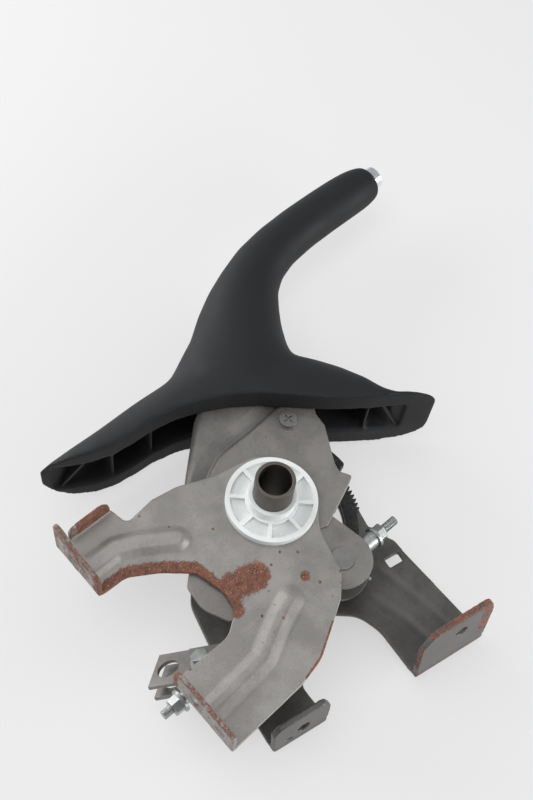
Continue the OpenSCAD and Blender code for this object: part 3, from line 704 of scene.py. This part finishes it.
def far_bracket_rust(point):
    """Rust of the far bracket: along the edges of its front upright and on its front fold."""
    left, right = UPRIGHT_SIDES
    amount = 0.12
    if point.z > UPRIGHT_Z:
        amount = 0.26
        if point.x > 0 and (point.z > UPRIGHT_TOP or point.x > right or point.x < left):
            amount = 0.56
    if distance_to_line(point, FRONT_FOLD) < FOLD_RUST:
        amount = 0.4
    return amount


# Pieces


def near_bracket():
    piece = copy_of("near_bracket")
    inside = REAR_FACE + SHEET_HIGH - SHEET_LOW
    for low, high in REAR_FEET:
        round_bend(piece, (REAR_FACE, low, SHEET_LOW), (REAR_FACE, high, SHEET_LOW), OUTER_BEND)
        round_bend(piece, (inside, low, SHEET_HIGH), (inside, high, SHEET_HIGH), INNER_BEND)
    round_bend(piece, *LIP_FOLD, LIP_BEND)
    refined(piece, NEAR_BRACKET_VOXEL)
    for vertex in piece.data.vertices:
        flat = vertex.co.xy / MM
        if vertex.co.z < PLATE_TOP * MM:
            for line, top, foot in BEADS:
                share = (foot - distance_to_line(flat, line)) / (foot - top)
                vertex.co.z += BEAD_HEIGHT * MM * max(0, min(1, share))
        if vertex.co.x < (REAR_FACE + 1) * MM:
            ring = (vertex.co.yz / MM - Vector(RING_AT)).length
            rise = ease((ring - RING_IN) / RING_SLOPE) * ease((RING_OUT - ring) / RING_SLOPE)
            vertex.co.x -= RING_HEIGHT * MM * rise
    apply(piece, "SMOOTH", factor=0.5, iterations=3)
    paint_rust(piece, near_bracket_rust)
    smooth_shade(piece, 60)
    settle(piece, "near_bracket", FINISH["bracket_steel"])


def far_bracket():
    piece = copy_of("far_bracket")
    refined(piece, FAR_BRACKET_VOXEL)

    def near_a_fold(point):
        off = min(distance_to_line(point, fold) for fold in (FRONT_FOLD, MIDDLE_FOLD))
        return ease(1.6 - off / FOLD_REACH)

    soften(piece, 24, near_a_fold)
    for vertex in piece.data.vertices:
        point = vertex.co / MM
        if point.z < FAR_PLATE_TOP:
            off = min(distance_to_line(point.xy, crease) for crease in CREASES)
            vertex.co.z -= CREASE_DEPTH * MM * ease(1 - off / CREASE_HALF)
    paint_rust(piece, far_bracket_rust)
    smooth_shade(piece, 60)
    # The far bracket's dark steel carries painted shade as well as the sheet's own tone.
    settle(piece, "far_bracket", FINISH["dark_steel"])


def near_cheek():
    piece = copy_of("near_cheek")
    round_bend(piece, *CHEEK_FOLD, CHEEK_BEND)
    refined(piece, CHEEK_VOXEL)
    for vertex in piece.data.vertices:
        point = vertex.co / MM
        flank = GROOVE_WIDTH if point.y > height_on(GROOVE, point.x) else GROOVE_EDGE
        drop = GROOVE_DEPTH * max(0, 1 - distance_to_line(point.xy, GROOVE) / flank)
        vertex.co.z -= drop * MM * max(0, min(1, point.z / GROOVE_FADE))
    apply(piece, "SMOOTH", factor=0.5, iterations=3)
    smooth_shade(piece, 60)
    settle(piece, "near_cheek", FINISH["lever_steel"])


def grip():
    piece = copy_of("grip")
    apply(piece, "REMESH", mode="VOXEL", voxel_size=GRIP_VOXEL * MM)
    apply(piece, "SMOOTH", factor=0.5, iterations=8)

    def off_the_rim(point):
        off = distance_to_line(point.xy, RIM)
        return ease((off - RIM_CRISP) / RIM_FADE) * ease((HANDLE_END - point.x) / HANDLE_FADE)

    def rear_corner(point):
        return ease(1 - (point.xy - Vector(REAR_CORNER)).length / REAR_FILLET)

    soften(piece, 80, off_the_rim)
    soften(piece, 260, rear_corner)
    smooth_shade(piece, 60)
    settle(piece, "grip", FINISH["grip_plastic"])


def gusset(name):
    """A thin wall set slantwise across the slot of the grip."""
    near, far = (Vector((*point, 0)) for point in GUSSETS[name])
    along = (far - near).normalized()
    inward = Vector((-along.y, along.x, 0))
    if inward.y < 0:
        inward = -inward
    top, bottom = GUSSET_DEPTHS
    span = Vector((0, 0, -2 * GUSSET_HALF)) + far - near
    length = span.normalized()
    turn = Matrix((length, inward.cross(length), inward)).transposed().to_4x4()
    middle = (near + far) / 2 + inward * (top + bottom) / 2
    size = Matrix.Diagonal((span.length * MM, GUSSET_THICK * MM, (bottom - top) * MM, 1))
    deselect()
    bpy.ops.mesh.primitive_cube_add(size=1)
    piece = bpy.context.object
    piece.name = name
    piece.matrix_world = Matrix.Translation(middle * MM) @ turn @ size
    bpy.ops.object.transform_apply(location=True, rotation=True, scale=True)
    piece.data.materials.append(FINISH["grip_plastic"])
    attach(piece, body_of["grip"])


def threaded_rod():
    """A rod cut into fine rings, with its thread pressed in along a helix."""
    deselect()
    bpy.ops.mesh.primitive_cylinder_add(
        vertices=ROD_SIDES,
        radius=ROD_RADIUS * MM,
        depth=(ROD_END - ROD_START) * MM,
        location=Vector(((ROD_START + ROD_END) / 2, ROD_Y, 0)) * MM,
        rotation=(0, math.pi / 2, 0),
    )
    piece = bpy.context.object
    piece.name = "tension_rod_finished"
    bpy.ops.object.transform_apply(location=True, rotation=True, scale=True)
    for cuts in ROD_CUTS:
        bpy.ops.object.mode_set(mode="EDIT")
        bpy.ops.mesh.select_mode(type="EDGE")
        bpy.ops.mesh.select_all(action="DESELECT")
        bpy.ops.object.mode_set(mode="OBJECT")
        for edge in piece.data.edges:
            first, second = (piece.data.vertices[i].co for i in edge.vertices)
            edge.select = abs(first.x - second.x) > 0.1 * MM
        bpy.ops.object.mode_set(mode="EDIT")
        bpy.ops.mesh.subdivide(number_cuts=cuts)
        bpy.ops.object.mode_set(mode="OBJECT")
    for vertex in piece.data.vertices:
        across = vertex.co.yz - Vector((ROD_Y * MM, 0))
        turn = math.atan2(across.y, across.x) / math.tau
        wave = 2 * abs((vertex.co.x / MM / THREAD_PITCH - turn) % 1 - 0.5)
        across *= 1 - THREAD_DEPTH / ROD_RADIUS * wave
        vertex.co.yz = across + Vector((ROD_Y * MM, 0))
    smooth_shade(piece, 50)
    settle(piece, "tension_rod", FINISH["zinc"])


def dressed(node):
    """A node's own shape with its edges broken."""
    piece = copy_of(node)
    smooth_shade(piece, 30)
    apply(
        piece,
        "BEVEL",
        width=EDGE_WIDTHS.get(node, EDGE_WIDTH) * MM,
        segments=2,
        limit_method="ANGLE",
        angle_limit=math.radians(40),
        harden_normals=True,
    )
    settle(piece, node, FINISH[WORN.get(node, slot_of[node])])


near_bracket()
far_bracket()
near_cheek()
grip()
for name in GUSSETS:
    gusset(name)
threaded_rod()
for node in frame["nodes"]:
    if not frame["nodes"][node].hide_render:
        dressed(node)


# Floor, light and camera


def floor():
    """A pale plane that partly glows for the camera and in reflections."""
    deselect()
    bpy.ops.mesh.primitive_plane_add(size=FLOOR_SIZE, location=(0, 0, cad_box[0][2] - FLOOR_GAP))
    plane = bpy.context.object
    plane.name = "floor"
    material, tree, surface, _ = new_material("pale floor")
    fill(tree, surface, Base_Color=FLOOR_COLOUR, Roughness=0.9, Specular_IOR_Level=0.0)
    rays = put(tree, "ShaderNodeLightPath").outputs
    mirrored = math_of(tree, "MAXIMUM", rays["Is Glossy Ray"], rays["Is Transmission Ray"])
    seen = math_of(tree, "MAXIMUM", rays["Is Camera Ray"], mirrored)
    share = scaled(tree, seen, GLOW_SHARE)
    glow = put(tree, "ShaderNodeEmission", {"Color": FLOOR_GLOW, "Strength": 1.0})
    inputs = {0: share, 1: surface.outputs[0], 2: glow.outputs[0]}
    both = put(tree, "ShaderNodeMixShader", inputs)
    tree.links.new(both.outputs[0], tree.nodes["Material Output"].inputs[0])
    plane.data.materials.append(material)


def softbox(name, place, target, size, power):
    data = bpy.data.lights.new(name, "AREA")
    data.shape = "RECTANGLE"
    data.size, data.size_y = size
    data.energy = power
    lamp = bpy.data.objects.new(name, data)
    bpy.context.scene.collection.objects.link(lamp)
    lamp.location = place
    lamp.rotation_euler = (Vector(target) - Vector(place)).to_track_quat("-Z", "Y").to_euler()


def studio():
    world = bpy.data.worlds.new("studio")
    bpy.context.scene.world = world
    world.use_nodes = True
    background = world.node_tree.nodes["Background"]
    background.inputs["Color"].default_value = SKY_COLOUR
    background.inputs["Strength"].default_value = SKY_STRENGTH
    for name, setting in SOFTBOXES.items():
        softbox(name, *setting)
    bpy.context.scene.view_settings.view_transform = "Standard"


def camera():
    data = bpy.data.cameras.new("camera")
    data.lens = CAMERA_LENS
    data.sensor_width = CAMERA_SENSOR
    data.clip_start, data.clip_end = CAMERA_CLIP
    view = bpy.data.objects.new("camera", data)
    bpy.context.scene.collection.objects.link(view)
    back = CAMERA_RIGHT.cross(CAMERA_UP)
    turn = Matrix((CAMERA_RIGHT, CAMERA_UP, back)).transposed().to_4x4()
    view.matrix_world = Matrix.Translation(CAMERA_AT) @ turn
    bpy.context.scene.camera = view


floor()
studio()
camera()
